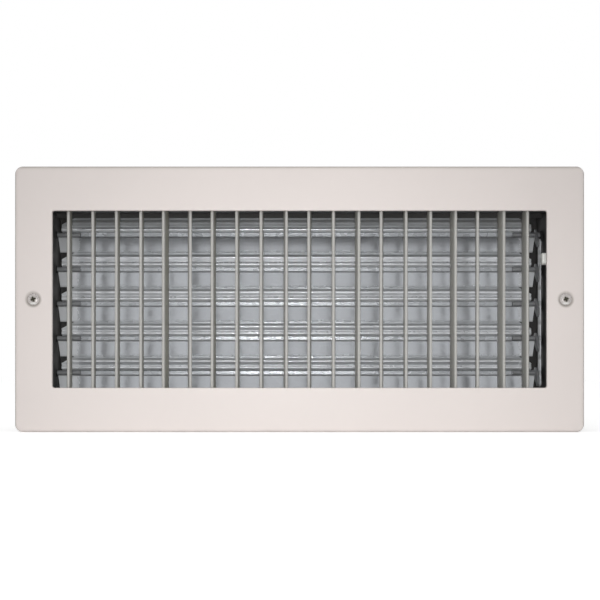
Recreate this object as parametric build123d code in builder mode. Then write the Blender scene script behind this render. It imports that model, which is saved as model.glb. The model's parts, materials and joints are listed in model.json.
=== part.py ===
from build123d import *
from math import asin, cos, degrees, hypot, radians, sin
import os

# Wall supply register: a pressed face plate on a folded neck, twenty upright aerofoil blades that turn
# one by one in bearing strips, and behind them a damper of five level blades worked by one link bar.
# Lengths are in millimetres. X runs along the register, +Y into the wall and +Z up. The wall's surface
# is the plane y = 0, and the origin lies midway between the two fixing screws.

# Neck that goes into the wall; its outside is the register's nominal size
NECK_WIDTH = 402.0
NECK_HEIGHT = 150.0
NECK_SHEET = 1.0
NECK_REAR = 60.0
NECK_FRONT_FLANGE = 6.0
NECK_REAR_FLANGE = 6.0
CORNER_TAB_LENGTH = 12.0
CORNER_TAB_WIDTH = 10.0
CORNER_TAB_GAP = 1.0
RIVET_RADIUS = 1.6
RIVET_HEAD_RADIUS = 3.0
RIVET_HEAD_HEIGHT = 0.8

# Face plate: how far it reaches past the neck, and how far its window stands inside the neck
FACE_SIDE_BORDER = 24.0
FACE_TOP_BORDER = 30.0
FACE_STAND = 6.0
FACE_SHEET = 1.2
FACE_CORNER = 6.0
FACE_EDGE_ROUND = 1.6
WINDOW_SIDE_REVEAL = 5.5
WINDOW_TOP_REVEAL = 5.0
WINDOW_CORNER = 1.6
WINDOW_EDGE_ROUND = 0.8
LIP_DEPTH = 3.6

# Fixing screws and the dimples that they sit in
SCREW_EDGE_DISTANCE = 14.5
SCREW_SHANK_RADIUS = 2.1
SCREW_SHOULDER_RADIUS = 2.3
SCREW_HEAD_RADIUS = 4.75
SCREW_HEAD_DOME = 1.3
SCREW_LENGTH = 38.0
SCREW_TIP_LENGTH = 4.0
SCREW_RECESS_SPAN = 4.6
SCREW_RECESS_WIDTH = 1.0
SCREW_RECESS_DEPTH = 1.8
SCREW_RECESS_TURN = 20.0
SCREW_HOLE_RADIUS = 2.4
DIMPLE_RADIUS = 6.9
DIMPLE_SEAT_RADIUS = 5.0
DIMPLE_DISH = 0.7
SEAT_CLEARANCE = 0.1
DIMPLE_CLEARANCE = 0.5

# Upright blades
BLADE_COUNT = 20
BLADE_LEFT_MARGIN = 11.6
BLADE_RIGHT_MARGIN = 14.6
BLADE_CHORD = 20.0
BLADE_THICKNESS = 3.0
BLADE_THICKEST = 7.0
BLADE_NOSE_RADIUS = 1.2
BLADE_TAIL_THICKNESS = 1.0
BLADE_SETBACK = 4.5
BLADE_PIN_RADIUS = 1.5
# The angle at which each blade was left standing, in degrees, from the left
BLADE_ANGLES = (2, 3, 0, 1, -7, 8, -5, -3, -2, 5, -5, -2, 5, -6, -1, 1, 5, -6, 5, 2)

# Blade rails and the bearing strips in them
RAIL_SHEET = 0.8
RAIL_MARGIN = 2.0
BLADE_END_GAP = 0.3
PIN_TOP_GAP = 0.3
RUNNING_CLEARANCE = 0.05
PRESS_CLEARANCE = 0.02

# Damper blades: roll-formed sheet with two ridges, a pivot groove and a flat lower wing
DAMPER_COUNT = 5
DAMPER_TOP_GAP = 2.5
DAMPER_BOTTOM_GAP = 0.6
DAMPER_LAP = 2.4
DAMPER_PIVOT_SHIFT = 1.1
DAMPER_LEFT_GAP = 1.4
DAMPER_RIGHT_GAP = 5.4
DAMPER_Y = 40.0
DAMPER_SHEET = 0.9
UPPER_WING_LEAD = 1.6
RIDGE_LEAD = 3.2
RIDGE_UPPER = 9.4
RIDGE_VALLEY = 6.5
RIDGE_VALLEY_LEAD = 1.3
RIDGE_LOWER = 3.5
GROOVE_HALF = 2.0
GROOVE_FLOOR = 2.0
LOWER_WING_TOP_LEAD = 1.0
LOWER_WING_LEAD = 3.6
RIDGE_END_INSET = 3.0
LOWER_CORNER_INSET = 2.2
UPPER_CORNER_RISE = 8.0
UPPER_CORNER_RUN = 15.0
RIDGE_SHOULDER = 2.4
DAMPER_BENDS = (1.6, 1.2, 0.8, 1.2, 1.0, 1.0, 1.2)

# Damper pivots, bushes and linkage
PIVOT_RADIUS = 1.9
PIVOT_SEAT_LENGTH = 18.0
PIVOT_PROUD = 0.6
DAMPER_BUSH_RADIUS = 3.2
DAMPER_BUSH_PROUD = 0.8
CRANK_RADIUS = 12.0
CRANK_START_ANGLE = 40.0
CRANK_PLATE = 1.2
CRANK_PIVOT_END_RADIUS = 4.5
CRANK_PIN_END_RADIUS = 3.4
LINK_GAP = 0.3
LINK_PIN_RADIUS = 1.5
LINK_PIN_LENGTH = 2.4
LINK_BAR_THICKNESS = 1.2
LINK_BAR_WIDTH = 7.0
LEVER_RISE = 6.1
LEVER_HEIGHT = 5.0
LEVER_REACH = 19.0
LEVER_ROOT_RADIUS = 3.0
TIP_HEIGHT = 9.4
TIP_LENGTH = 9.0
TIP_THICKNESS = 4.0
TIP_OFFSET = 0.8
TIP_ROUND = 1.2
TIP_CORNER = 2.0
TIP_COVER = 7.0

# Damper stops
STOP_SHEET = 1.0
STOP_DROP = 5.0
STOP_LEG = 8.0
STOP_GAP = 0.3

# Sizes and places that follow from the ones above
FACE_WIDTH = NECK_WIDTH + 2 * FACE_SIDE_BORDER
FACE_HEIGHT = NECK_HEIGHT + 2 * FACE_TOP_BORDER
FACE_FRONT = -FACE_STAND
FACE_BACK = FACE_FRONT + FACE_SHEET
WINDOW_WIDTH = NECK_WIDTH - 2 * WINDOW_SIDE_REVEAL
WINDOW_HEIGHT = NECK_HEIGHT - 2 * WINDOW_TOP_REVEAL
LIP_OUTER_WIDTH = WINDOW_WIDTH + 2 * FACE_SHEET
LIP_OUTER_HEIGHT = WINDOW_HEIGHT + 2 * FACE_SHEET
SCREW_SPACING = FACE_WIDTH - 2 * SCREW_EDGE_DISTANCE
SCREW_SEAT_Y = FACE_FRONT + DIMPLE_DISH
SCREW_RIM_Y = SCREW_SEAT_Y + SEAT_CLEARANCE
SCREW_TOP_Y = SCREW_RIM_Y - SCREW_HEAD_DOME
SCREW_CONE_END_Y = SCREW_RIM_Y + SCREW_HEAD_RADIUS - SCREW_SHOULDER_RADIUS
DIMPLE_FLOOR_Y = SCREW_SEAT_Y + DIMPLE_SEAT_RADIUS - SCREW_HOLE_RADIUS
NECK_INNER_X = NECK_WIDTH / 2 - NECK_SHEET
NECK_INNER_Z = NECK_HEIGHT / 2 - NECK_SHEET
CORNER_TAB_Y = NECK_REAR - NECK_SHEET - CORNER_TAB_GAP - CORNER_TAB_WIDTH / 2
BLADE_PITCH = (WINDOW_WIDTH - BLADE_LEFT_MARGIN - BLADE_RIGHT_MARGIN) / (BLADE_COUNT - 1)
BLADE_ROW_SHIFT = (BLADE_LEFT_MARGIN - BLADE_RIGHT_MARGIN) / 2
BLADE_FRONT_Y = FACE_FRONT + BLADE_SETBACK
BLADE_PIVOT_Y = BLADE_FRONT_Y + BLADE_CHORD / 2
RAIL_REAR = BLADE_FRONT_Y + BLADE_CHORD + RAIL_MARGIN
RAIL_FACE_Z = LIP_OUTER_HEIGHT / 2
RAIL_FLOOR_Z = NECK_INNER_Z - RAIL_SHEET
BLADE_END_Z = RAIL_FACE_Z - BLADE_END_GAP
BLADE_PIN_END_Z = RAIL_FLOOR_Z - PIN_TOP_GAP
DAMPER_PITCH = (2 * NECK_INNER_Z - DAMPER_LAP - DAMPER_TOP_GAP - DAMPER_BOTTOM_GAP) / DAMPER_COUNT
DAMPER_TOP = (DAMPER_PITCH + DAMPER_LAP + DAMPER_PIVOT_SHIFT) / 2
DAMPER_BOTTOM = DAMPER_PITCH + DAMPER_LAP - DAMPER_TOP
DAMPER_ROW_SHIFT = (DAMPER_BOTTOM + DAMPER_BOTTOM_GAP - DAMPER_TOP - DAMPER_TOP_GAP) / 2
DAMPER_LEFT = -NECK_INNER_X + DAMPER_LEFT_GAP
DAMPER_RIGHT = NECK_INNER_X - DAMPER_RIGHT_GAP
PIVOT_OUTER_X = NECK_WIDTH / 2 + PIVOT_PROUD
CRANK_LEFT = DAMPER_RIGHT + LINK_GAP
CRANK_RIGHT = CRANK_LEFT + CRANK_PLATE
BAR_LEFT = CRANK_RIGHT + LINK_GAP
PIN_Y_OFFSET = -CRANK_RADIUS * cos(radians(CRANK_START_ANGLE))
PIN_Z_OFFSET = -CRANK_RADIUS * sin(radians(CRANK_START_ANGLE))
MASTER_BLADE = 1
LOWER_WING_SLOPE = (LOWER_WING_LEAD - LOWER_WING_TOP_LEAD) / (DAMPER_BOTTOM - GROOVE_HALF)
LOWER_WING_DEPTH = DAMPER_SHEET * hypot(1, LOWER_WING_SLOPE)
STOP_EDGE_DROP = DAMPER_BOTTOM + DAMPER_BOTTOM_GAP - STOP_DROP - GROOVE_HALF
STOP_TOP_Y = DAMPER_Y - UPPER_WING_LEAD - STOP_GAP - STOP_SHEET
STOP_BOTTOM_Y = (
    DAMPER_Y - LOWER_WING_TOP_LEAD - LOWER_WING_SLOPE * STOP_EDGE_DROP + LOWER_WING_DEPTH + STOP_GAP
)

def blade_x(number):
    """X of an upright blade's pin axis, counted from 0 at the left."""
    return BLADE_ROW_SHIFT + (number - (BLADE_COUNT - 1) / 2) * BLADE_PITCH


def damper_z(number):
    """Z of a damper blade's pivot axis, counted from 0 at the top."""
    return DAMPER_ROW_SHIFT + ((DAMPER_COUNT - 1) / 2 - number) * DAMPER_PITCH


def plane_facing_front(y):
    """Sketch plane at a depth y: local x is +X, local y is +Z and extrusions go towards the front."""
    return Plane.XZ.offset(-y)


def plane_across(x):
    """Sketch plane at a place x: local x is +Y, local y is +Z and extrusions go towards +X."""
    return Plane.YZ.offset(x)


def save(part, name):
    part.label = name
    export_step(part, f"parts/{name}.step")


os.makedirs("parts", exist_ok=True)

# Face plate: one pressed sheet with its outer edge and its window edge turned back. The front corners
# are rounded in plan and along the fold, and each screw sits in a dished countersink pressed in the sheet.
with BuildPart() as face_plate:
    with BuildSketch(plane_facing_front(0)):
        RectangleRounded(FACE_WIDTH, FACE_HEIGHT, FACE_CORNER)
    extrude(amount=FACE_STAND)
    fillet(face_plate.faces().sort_by(Axis.Y)[0].edges(), FACE_EDGE_ROUND)
    with BuildSketch(plane_facing_front(0)):
        RectangleRounded(FACE_WIDTH - 2 * FACE_SHEET, FACE_HEIGHT - 2 * FACE_SHEET, FACE_CORNER - FACE_SHEET)
    extrude(amount=FACE_STAND - FACE_SHEET, mode=Mode.SUBTRACT)
    with BuildSketch(plane_facing_front(FACE_FRONT + LIP_DEPTH)):
        RectangleRounded(LIP_OUTER_WIDTH, LIP_OUTER_HEIGHT, WINDOW_CORNER + FACE_SHEET)
    extrude(amount=LIP_DEPTH - FACE_SHEET)
    with BuildSketch(plane_facing_front(0)):
        RectangleRounded(WINDOW_WIDTH, WINDOW_HEIGHT, WINDOW_CORNER)
        with GridLocations(SCREW_SPACING, 0, 2, 1):
            Circle(DIMPLE_RADIUS)
    extrude(amount=FACE_STAND, mode=Mode.SUBTRACT)
    window_edges = face_plate.faces().sort_by(Axis.Y)[0].inner_wires().sort_by(SortBy.LENGTH)[-1].edges()
    fillet(window_edges, WINDOW_EDGE_ROUND)
    for screw_x in (-SCREW_SPACING / 2, SCREW_SPACING / 2):
        with BuildSketch(Plane.XY):
            with BuildLine():
                Polyline(
                    (screw_x + SCREW_HOLE_RADIUS, DIMPLE_FLOOR_Y),
                    (screw_x + DIMPLE_SEAT_RADIUS, SCREW_SEAT_Y),
                    (screw_x + DIMPLE_RADIUS, FACE_FRONT),
                    (screw_x + DIMPLE_RADIUS, FACE_BACK),
                    (screw_x + DIMPLE_SEAT_RADIUS + FACE_SHEET / 2, SCREW_SEAT_Y + FACE_SHEET),
                    (screw_x + SCREW_HOLE_RADIUS + FACE_SHEET / 2, DIMPLE_FLOOR_Y + FACE_SHEET / 2),
                    (screw_x + SCREW_HOLE_RADIUS, DIMPLE_FLOOR_Y + FACE_SHEET / 2),
                    close=True,
                )
            make_face()
        revolve(axis=Axis((screw_x, 0, 0), (0, 1, 0)))
save(face_plate.part, "face_plate")

# Fixing screws: raised countersunk heads with a cross recess, a shoulder through the face plate and, from
# the wall's surface on, a plain shank in place of the thread
with BuildPart() as fixing_screws:
    for screw_x in (-SCREW_SPACING / 2, SCREW_SPACING / 2):
        with BuildSketch(Plane.XY):
            with BuildLine():
                dome = TangentArc(
                    (screw_x, SCREW_TOP_Y), (screw_x + SCREW_HEAD_RADIUS, SCREW_RIM_Y), tangent=(1, 0)
                )
                Polyline(
                    dome @ 1,
                    (screw_x + SCREW_SHOULDER_RADIUS, SCREW_CONE_END_Y),
                    (screw_x + SCREW_SHOULDER_RADIUS, 0),
                    (screw_x + SCREW_SHANK_RADIUS, 0),
                    (screw_x + SCREW_SHANK_RADIUS, SCREW_RIM_Y + SCREW_LENGTH - SCREW_TIP_LENGTH),
                    (screw_x, SCREW_RIM_Y + SCREW_LENGTH),
                    dome @ 0,
                )
            make_face()
        revolve(axis=Axis((screw_x, 0, 0), (0, 1, 0)))
    with BuildSketch(plane_facing_front(SCREW_TOP_Y + SCREW_RECESS_DEPTH)):
        with GridLocations(SCREW_SPACING, 0, 2, 1):
            Rectangle(SCREW_RECESS_SPAN, SCREW_RECESS_WIDTH, rotation=SCREW_RECESS_TURN)
            Rectangle(SCREW_RECESS_WIDTH, SCREW_RECESS_SPAN, rotation=SCREW_RECESS_TURN)
    extrude(amount=SCREW_RECESS_DEPTH + SCREW_HEAD_DOME, mode=Mode.SUBTRACT)
save(fixing_screws.part, "fixing_screws")

# Neck, top and bottom: sheets with the front flange turned out behind the face plate and the rear
# flange turned in
for side, sign in (("top", 1), ("bottom", -1)):
    with BuildPart() as neck_wall:
        with BuildSketch(plane_across(-NECK_WIDTH / 2)):
            with BuildLine():
                Polyline(
                    (FACE_BACK, sign * (NECK_HEIGHT / 2 + NECK_FRONT_FLANGE)),
                    (FACE_BACK, sign * NECK_INNER_Z),
                    (NECK_REAR, sign * NECK_INNER_Z),
                    (NECK_REAR, sign * NECK_HEIGHT / 2),
                    (FACE_BACK + NECK_SHEET, sign * NECK_HEIGHT / 2),
                    (FACE_BACK + NECK_SHEET, sign * (NECK_HEIGHT / 2 + NECK_FRONT_FLANGE)),
                    close=True,
                )
            make_face()
        extrude(amount=NECK_WIDTH)
        with BuildSketch(plane_facing_front(NECK_REAR)):
            with Locations((0, sign * (NECK_INNER_Z - NECK_REAR_FLANGE / 2))):
                Rectangle(2 * NECK_INNER_X, NECK_REAR_FLANGE)
        extrude(amount=NECK_SHEET)
        with BuildSketch(Plane.XY.offset(-NECK_HEIGHT)):
            with Locations((0, CORNER_TAB_Y)):
                with GridLocations(2 * (NECK_INNER_X - CORNER_TAB_LENGTH / 2), 0, 2, 1):
                    Circle(RIVET_RADIUS + PRESS_CLEARANCE)
        extrude(amount=2 * NECK_HEIGHT, mode=Mode.SUBTRACT)
    save(neck_wall.part, f"neck_{side}")

# Neck, left and right: between the top and the bottom, with a riveted tab at each rear corner and a
# row of holes for the damper's bushes
for side, sign in (("left", -1), ("right", 1)):
    with BuildPart() as neck_wall:
        with BuildSketch(Plane.XY.offset(-NECK_INNER_Z)):
            with BuildLine():
                Polyline(
                    (sign * (NECK_WIDTH / 2 + NECK_FRONT_FLANGE), FACE_BACK),
                    (sign * NECK_INNER_X, FACE_BACK),
                    (sign * NECK_INNER_X, NECK_REAR),
                    (sign * NECK_WIDTH / 2, NECK_REAR),
                    (sign * NECK_WIDTH / 2, FACE_BACK + NECK_SHEET),
                    (sign * (NECK_WIDTH / 2 + NECK_FRONT_FLANGE), FACE_BACK + NECK_SHEET),
                    close=True,
                )
            make_face()
        extrude(amount=2 * NECK_INNER_Z)
        with BuildSketch(plane_facing_front(FACE_BACK + NECK_SHEET)):
            with Locations((sign * SCREW_SPACING / 2, 0)):
                Circle(DIMPLE_RADIUS + DIMPLE_CLEARANCE)
        extrude(amount=NECK_SHEET, mode=Mode.SUBTRACT)
        tab_x = sign * (NECK_INNER_X - CORNER_TAB_LENGTH / 2)
        with BuildSketch(plane_facing_front(NECK_REAR)):
            with Locations((tab_x, 0)):
                Rectangle(CORNER_TAB_LENGTH, 2 * (NECK_INNER_Z - NECK_REAR_FLANGE))
        extrude(amount=NECK_SHEET)
        for level in (-1, 1):
            with BuildSketch(Plane.XY.offset(level * (NECK_INNER_Z - NECK_SHEET / 2) - NECK_SHEET / 2)):
                with Locations((tab_x, CORNER_TAB_Y)):
                    Rectangle(CORNER_TAB_LENGTH, CORNER_TAB_WIDTH)
                    Circle(RIVET_RADIUS + PRESS_CLEARANCE, mode=Mode.SUBTRACT)
            extrude(amount=NECK_SHEET)
        with BuildSketch(plane_across(0)):
            with Locations((DAMPER_Y, DAMPER_ROW_SHIFT)):
                with GridLocations(0, DAMPER_PITCH, 1, DAMPER_COUNT):
                    Circle(DAMPER_BUSH_RADIUS + PRESS_CLEARANCE)
        extrude(amount=sign * NECK_WIDTH, mode=Mode.SUBTRACT)
    save(neck_wall.part, f"neck_{side}")

# Corner rivets: each holds a side's tab under the top or on the bottom
with BuildPart() as corner_rivets:
    with BuildSketch(Plane.XY):
        with BuildLine():
            Polyline(
                (0, NECK_INNER_Z - NECK_SHEET),
                (RIVET_RADIUS, NECK_INNER_Z - NECK_SHEET),
                (RIVET_RADIUS, NECK_HEIGHT / 2),
                (RIVET_HEAD_RADIUS, NECK_HEIGHT / 2),
                (0, NECK_HEIGHT / 2 + RIVET_HEAD_HEIGHT),
                close=True,
            )
        make_face()
    rivet = revolve(axis=Axis.Y, mode=Mode.PRIVATE).rotate(Axis.X, 90)
    for corner_x in (-1, 1):
        rivet_x = corner_x * (NECK_INNER_X - CORNER_TAB_LENGTH / 2)
        add(rivet.moved(Location((rivet_x, CORNER_TAB_Y, 0))))
        add(rivet.rotate(Axis.X, 180).moved(Location((rivet_x, CORNER_TAB_Y, 0))))
save(corner_rivets.part, "corner_rivets")

# Blade rails: shallow channels against the neck's top and bottom, open towards the window
for side, sign in (("top", 1), ("bottom", -1)):
    with BuildPart() as blade_rail:
        with BuildSketch(plane_across(-NECK_INNER_X)):
            with BuildLine():
                Polyline(
                    (FACE_BACK, sign * RAIL_FACE_Z),
                    (FACE_BACK, sign * NECK_INNER_Z),
                    (RAIL_REAR, sign * NECK_INNER_Z),
                    (RAIL_REAR, sign * RAIL_FACE_Z),
                    (RAIL_REAR - RAIL_SHEET, sign * RAIL_FACE_Z),
                    (RAIL_REAR - RAIL_SHEET, sign * RAIL_FLOOR_Z),
                    (FACE_BACK + RAIL_SHEET, sign * RAIL_FLOOR_Z),
                    (FACE_BACK + RAIL_SHEET, sign * RAIL_FACE_Z),
                    close=True,
                )
            make_face()
        extrude(amount=2 * NECK_INNER_X)
    save(blade_rail.part, f"blade_rail_{side}")

# Bearing strips: moulded strips that fill the rails, with one bore for each blade's pin
for side, sign in (("top", 1), ("bottom", -1)):
    with BuildPart() as bearing_strip:
        with BuildSketch(Plane.XY.offset(sign * RAIL_FACE_Z)):
            with Locations((0, (FACE_BACK + RAIL_REAR) / 2)):
                Rectangle(2 * NECK_INNER_X, RAIL_REAR - FACE_BACK - 2 * RAIL_SHEET)
            with Locations((BLADE_ROW_SHIFT, BLADE_PIVOT_Y)):
                with GridLocations(BLADE_PITCH, 0, BLADE_COUNT, 1):
                    Circle(BLADE_PIN_RADIUS + RUNNING_CLEARANCE, mode=Mode.SUBTRACT)
        extrude(amount=sign * (RAIL_FLOOR_Z - RAIL_FACE_Z))
    save(bearing_strip.part, f"bearing_strip_{side}")

# Upright blades: an aerofoil section with a pin at each end. Each side of the section is three arcs that
# run into one another: the round nose, the front of the side and, behind the thickest place, the rear.
nose = -BLADE_CHORD / 2
tail = BLADE_CHORD / 2
half_thickness = BLADE_THICKNESS / 2
front_run = BLADE_THICKEST - BLADE_NOSE_RADIUS
front_radius = (front_run**2 + half_thickness**2 - BLADE_NOSE_RADIUS**2) / (
    2 * (half_thickness - BLADE_NOSE_RADIUS)
)
nose_sweep = 90 - degrees(asin(front_run / (front_radius - BLADE_NOSE_RADIUS)))
for number in range(BLADE_COUNT):
    pin_plane = Plane(
        origin=(blade_x(number), BLADE_PIVOT_Y, -BLADE_END_Z),
        x_dir=Vector(1, 0, 0).rotate(Axis.Z, BLADE_ANGLES[number]),
        z_dir=(0, 0, 1),
    )
    with BuildPart() as blade:
        with BuildSketch(pin_plane):
            with BuildLine():
                nose_arc = CenterArc((0, nose + BLADE_NOSE_RADIUS), BLADE_NOSE_RADIUS, -90, nose_sweep)
                front_arc = TangentArc(
                    nose_arc @ 1, (half_thickness, nose + BLADE_THICKEST), tangent=nose_arc % 1
                )
                rear_arc = TangentArc(
                    front_arc @ 1, (BLADE_TAIL_THICKNESS / 2, tail), tangent=front_arc % 1
                )
                Line(rear_arc @ 1, (-BLADE_TAIL_THICKNESS / 2, tail))
                mirror([nose_arc, front_arc, rear_arc], about=Plane.YZ)
            make_face()
        extrude(amount=2 * BLADE_END_Z)
        with BuildSketch(pin_plane.offset(BLADE_END_Z - BLADE_PIN_END_Z)):
            Circle(BLADE_PIN_RADIUS)
        extrude(amount=2 * BLADE_PIN_END_Z)
    save(blade.part, f"front_blade_{number + 1:02d}")

# Damper blades: the section is one bent line given the sheet's thickness towards the back, and the
# front view trims it: widest beside the pivot groove, narrower at the ridges, with cut upper corners
front_view = [
    (DAMPER_LEFT, -GROOVE_HALF),
    (DAMPER_LEFT + LOWER_CORNER_INSET, -DAMPER_BOTTOM),
    (DAMPER_RIGHT - LOWER_CORNER_INSET, -DAMPER_BOTTOM),
    (DAMPER_RIGHT, -GROOVE_HALF),
    (DAMPER_RIGHT, GROOVE_HALF),
    (DAMPER_RIGHT - RIDGE_END_INSET, GROOVE_HALF),
    (DAMPER_RIGHT - RIDGE_END_INSET, UPPER_CORNER_RISE),
    (DAMPER_RIGHT - RIDGE_END_INSET - UPPER_CORNER_RUN, DAMPER_TOP),
    (DAMPER_LEFT + RIDGE_END_INSET + UPPER_CORNER_RUN, DAMPER_TOP),
    (DAMPER_LEFT + RIDGE_END_INSET, UPPER_CORNER_RISE),
    (DAMPER_LEFT + RIDGE_END_INSET, GROOVE_HALF),
    (DAMPER_LEFT, GROOVE_HALF),
]
for number in range(DAMPER_COUNT):
    pivot_plane = Plane(origin=(DAMPER_LEFT, DAMPER_Y, damper_z(number)), x_dir=(0, 1, 0), z_dir=(1, 0, 0))
    with BuildPart() as damper_blade:
        with BuildSketch(pivot_plane):
            with BuildLine():
                FilletPolyline(
                    (-UPPER_WING_LEAD, DAMPER_TOP),
                    (-UPPER_WING_LEAD, RIDGE_UPPER + RIDGE_SHOULDER),
                    (-RIDGE_LEAD, RIDGE_UPPER),
                    (-RIDGE_VALLEY_LEAD, RIDGE_VALLEY),
                    (-RIDGE_LEAD, RIDGE_LOWER),
                    (GROOVE_FLOOR, GROOVE_HALF),
                    (GROOVE_FLOOR, -GROOVE_HALF),
                    (-LOWER_WING_TOP_LEAD, -GROOVE_HALF),
                    (-LOWER_WING_LEAD, -DAMPER_BOTTOM),
                    radius=DAMPER_BENDS,
                )
                offset(amount=DAMPER_SHEET, side=Side.LEFT)
            make_face()
        extrude(amount=DAMPER_RIGHT - DAMPER_LEFT)
        with BuildSketch(plane_facing_front(DAMPER_Y + DAMPER_PITCH)):
            with Locations((0, damper_z(number))):
                Polygon(*front_view, align=None)
        extrude(amount=2 * DAMPER_PITCH, mode=Mode.INTERSECT)
    save(damper_blade.part, f"damper_blade_{number + 1}")

# Damper pivot pins at the left: each is pressed into its blade's groove and runs in a side bush
for number in range(DAMPER_COUNT):
    pin_root = (DAMPER_LEFT + PIVOT_SEAT_LENGTH, DAMPER_Y, damper_z(number))
    pin_plane = Plane(origin=pin_root, x_dir=(0, 1, 0), z_dir=(-1, 0, 0))
    with BuildPart() as pivot_pin:
        with BuildSketch(pin_plane):
            Circle(PIVOT_RADIUS)
        extrude(amount=DAMPER_LEFT + PIVOT_SEAT_LENGTH + PIVOT_OUTER_X)
    save(pivot_pin.part, f"damper_pivot_{number + 1}")

# Damper cranks at the right: a pivot pin that seats in the groove like the left one, a tapered arm
# beside the blade's end and a link pin that carries the bar
for number in range(DAMPER_COUNT):
    crank_plane = Plane(origin=(CRANK_LEFT, DAMPER_Y, damper_z(number)), x_dir=(0, 1, 0), z_dir=(1, 0, 0))
    with BuildPart() as crank:
        with BuildSketch(crank_plane):
            Circle(CRANK_PIVOT_END_RADIUS)
            with Locations((PIN_Y_OFFSET, PIN_Z_OFFSET)):
                Circle(CRANK_PIN_END_RADIUS)
            make_hull()
        extrude(amount=CRANK_PLATE)
        with BuildSketch(crank_plane.offset(-LINK_GAP - PIVOT_SEAT_LENGTH)):
            Circle(PIVOT_RADIUS)
        extrude(amount=LINK_GAP + PIVOT_SEAT_LENGTH + PIVOT_OUTER_X - CRANK_LEFT)
        with BuildSketch(crank_plane.offset(CRANK_PLATE)):
            with Locations((PIN_Y_OFFSET, PIN_Z_OFFSET)):
                Circle(LINK_PIN_RADIUS)
        extrude(amount=LINK_PIN_LENGTH)
    save(crank.part, f"damper_crank_{number + 1}")

# Damper bushes: plain rings in the neck's sides that stand proud inside, one for each pivot
for side, sign in (("left", -1), ("right", 1)):
    with BuildPart() as damper_bushes:
        with BuildSketch(plane_across(sign * (NECK_INNER_X - DAMPER_BUSH_PROUD))):
            with Locations((DAMPER_Y, DAMPER_ROW_SHIFT)):
                with GridLocations(0, DAMPER_PITCH, 1, DAMPER_COUNT):
                    Circle(DAMPER_BUSH_RADIUS)
                    Circle(PIVOT_RADIUS + RUNNING_CLEARANCE, mode=Mode.SUBTRACT)
        extrude(amount=sign * (DAMPER_BUSH_PROUD + NECK_SHEET))
    save(damper_bushes.part, f"damper_bushes_{side}")

# Link bar: a flat bar over the five link pins, with the setting lever reaching forward from it
bar_z = DAMPER_ROW_SHIFT + PIN_Z_OFFSET
bar_y = DAMPER_Y + PIN_Y_OFFSET
lever_z = damper_z(MASTER_BLADE) + LEVER_RISE
lever_front_y = bar_y - LINK_BAR_WIDTH / 2 - LEVER_REACH
with BuildPart() as link_bar:
    with BuildSketch(plane_across(BAR_LEFT)):
        with Locations((bar_y, bar_z)):
            SlotOverall((DAMPER_COUNT - 1) * DAMPER_PITCH + LINK_BAR_WIDTH, LINK_BAR_WIDTH, rotation=90)
        with Locations((bar_y, lever_z)):
            Rectangle(bar_y - lever_front_y, LEVER_HEIGHT, align=(Align.MAX, Align.CENTER))
        with Locations((bar_y, bar_z)):
            with GridLocations(0, DAMPER_PITCH, 1, DAMPER_COUNT):
                Circle(LINK_PIN_RADIUS + RUNNING_CLEARANCE, mode=Mode.SUBTRACT)
    extrude(amount=LINK_BAR_THICKNESS)
    root_edges = [
        edge
        for edge in link_bar.edges().filter_by(Axis.X)
        if abs(edge.center().Y - (bar_y - LINK_BAR_WIDTH / 2)) < LINK_GAP
        and abs(abs(edge.center().Z - lever_z) - LEVER_HEIGHT / 2) < LINK_GAP
    ]
    fillet(root_edges, LEVER_ROOT_RADIUS)
save(link_bar.part, "link_bar")

# Lever tip: a moulded cap pushed over the lever's front end, with every edge rounded
tip_x = BAR_LEFT + LINK_BAR_THICKNESS / 2 - TIP_OFFSET
with BuildPart() as lever_tip:
    with BuildSketch(plane_across(tip_x - TIP_THICKNESS / 2)):
        with Locations((lever_front_y + TIP_COVER, lever_z)):
            RectangleRounded(TIP_LENGTH, TIP_HEIGHT, TIP_CORNER, align=(Align.MAX, Align.CENTER))
    extrude(amount=TIP_THICKNESS)
    fillet(lever_tip.faces().sort_by(Axis.X)[0].edges(), TIP_ROUND)
    with BuildSketch(plane_across(BAR_LEFT)):
        with Locations((lever_front_y + TIP_COVER, lever_z)):
            Rectangle(TIP_COVER, LEVER_HEIGHT, align=(Align.MAX, Align.CENTER))
    extrude(amount=LINK_BAR_THICKNESS, mode=Mode.SUBTRACT)
save(lever_tip.part, "lever_tip")

# Damper stops: angles fixed in the neck, in front of the top blade's upper edge and behind the bottom
# blade's lower edge
for side, sign, leg_y in (("top", 1, STOP_TOP_Y), ("bottom", -1, STOP_BOTTOM_Y)):
    with BuildPart() as damper_stop:
        with BuildSketch(plane_across(-NECK_INNER_X)):
            with BuildLine():
                Polyline(
                    (leg_y, sign * NECK_INNER_Z),
                    (leg_y, sign * (NECK_INNER_Z - STOP_DROP)),
                    (leg_y + STOP_SHEET, sign * (NECK_INNER_Z - STOP_DROP)),
                    (leg_y + STOP_SHEET, sign * (NECK_INNER_Z - STOP_SHEET)),
                    (leg_y + STOP_LEG, sign * (NECK_INNER_Z - STOP_SHEET)),
                    (leg_y + STOP_LEG, sign * NECK_INNER_Z),
                    close=True,
                )
            make_face()
        extrude(amount=2 * NECK_INNER_X)
    save(damper_stop.part, f"damper_stop_{side}")
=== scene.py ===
# %% [markdown]
# A wall supply register, dressed around its CAD frame.
# The real object is a pressed and painted face plate on a black sheet-metal neck. Twenty painted
# aerofoil blades stand in its window, and five galvanised damper blades lie closed behind them. The CAD
# model already holds every sheet, blade, pin and link at its true shape. What is left for this script is
# the finish of each surface, the fine forms that a solid model leaves plain (screw threads, peened pin
# ends), and the light and the camera. The frame is loaded first, because all of that hangs on it. Its
# plain materials are removed, so that every finish in the scene is one that is made below.

import json
import math

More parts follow.
